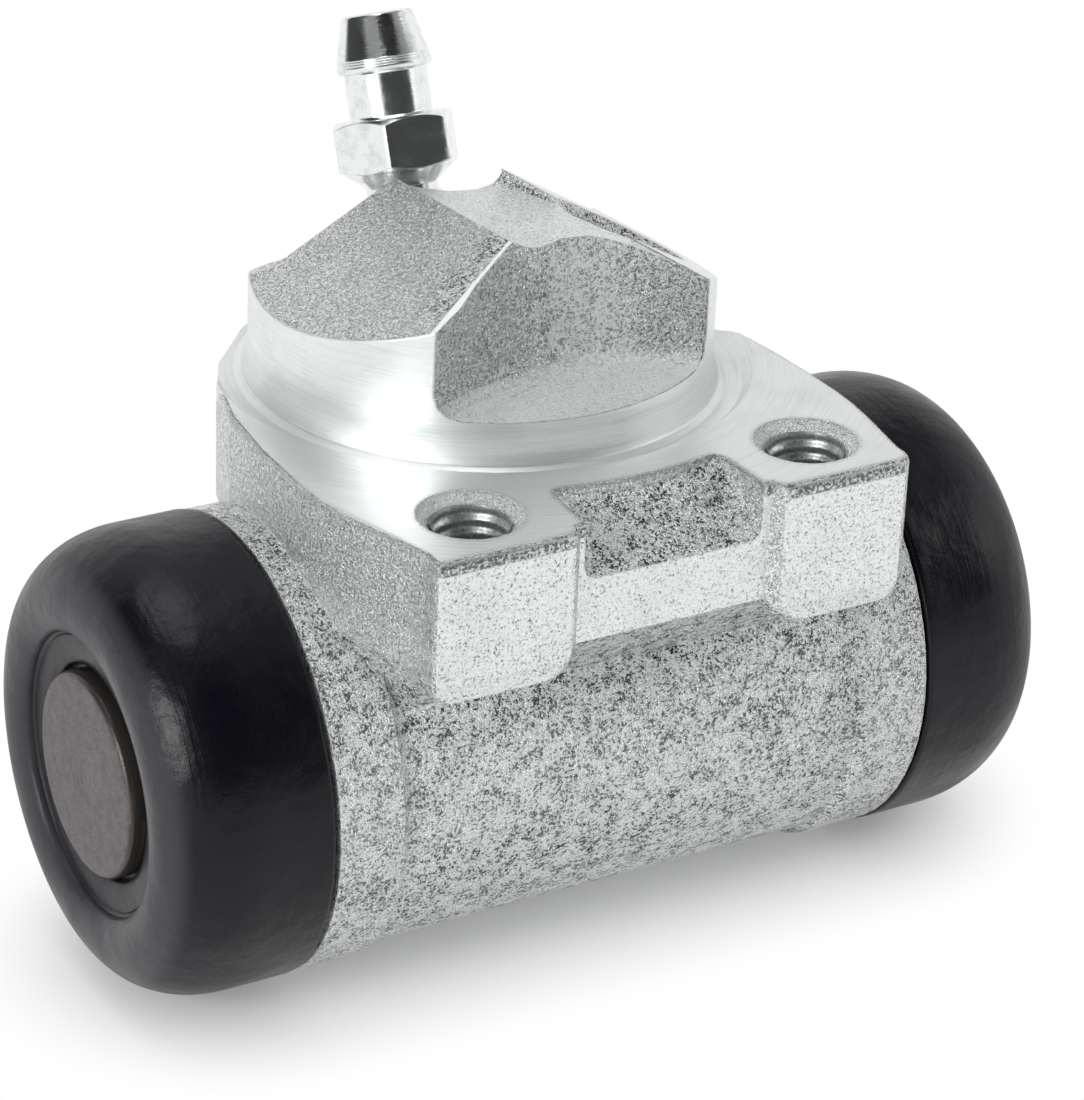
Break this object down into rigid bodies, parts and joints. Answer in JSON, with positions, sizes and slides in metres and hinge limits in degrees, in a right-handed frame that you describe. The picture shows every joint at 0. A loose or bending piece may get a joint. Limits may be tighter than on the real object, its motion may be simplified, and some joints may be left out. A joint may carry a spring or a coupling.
{
  "type": "brake wheel cylinder",
  "caption": "Drum brake wheel cylinder: cast housing with a round pilot boss, a pipe port and threaded ears, opposed pistons in rubber boots, and a bleed screw.",
  "frame": {"origin": "where the pilot boss's axis meets the machined mounting face", "axes": "+Z out of the mounting face along the pilot boss, +X along the bore towards the pipe port's side, -Y towards the threaded ears"},
  "size_m": [0.0702, 0.0468, 0.0591],
  "materials": {
    "plated_iron": "zinc plated, rough as cast with turned faces",
    "dark_aluminium": "dark anodised, matte, fine turning marks",
    "seal_rubber": "smooth moulded",
    "expander_steel": "pressed sheet, yellow passivated",
    "spring_steel": "drawn wire",
    "boot_rubber": "satin black moulded",
    "plated_steel": "bright zinc plated"
  },
  "bodies": {
    "housing": {"housing": "plated_iron", "left_boot": "boot_rubber", "right_boot": "boot_rubber", "return_spring": "spring_steel"},
    "left_piston_group": {"left_piston": "dark_aluminium", "left_cup_seal": "seal_rubber", "left_cup_expander": "expander_steel"},
    "right_piston_group": {"right_piston": "dark_aluminium", "right_cup_seal": "seal_rubber", "right_cup_expander": "expander_steel"},
    "bleed_screw": {"bleed_screw": "plated_steel"}
  },
  "joints": [
    {"name": "left_piston_slide", "type": "slide", "parent": "housing", "child": "left_piston_group", "axis": [-1, 0, 0], "range_m": [-0.002, 0.006], "deforming": ["left_boot", "return_spring"]},
    {"name": "right_piston_slide", "type": "slide", "parent": "housing", "child": "right_piston_group", "axis": [1, 0, 0], "range_m": [-0.002, 0.006], "deforming": ["right_boot", "return_spring"]},
    {"name": "bleed_screw_turn", "type": "hinge", "parent": "housing", "child": "bleed_screw", "pos_m": [0, 0.0121, 0.0084], "axis": [0, 0.3584, 0.9336], "range_deg": [0, 270]}
  ]
}
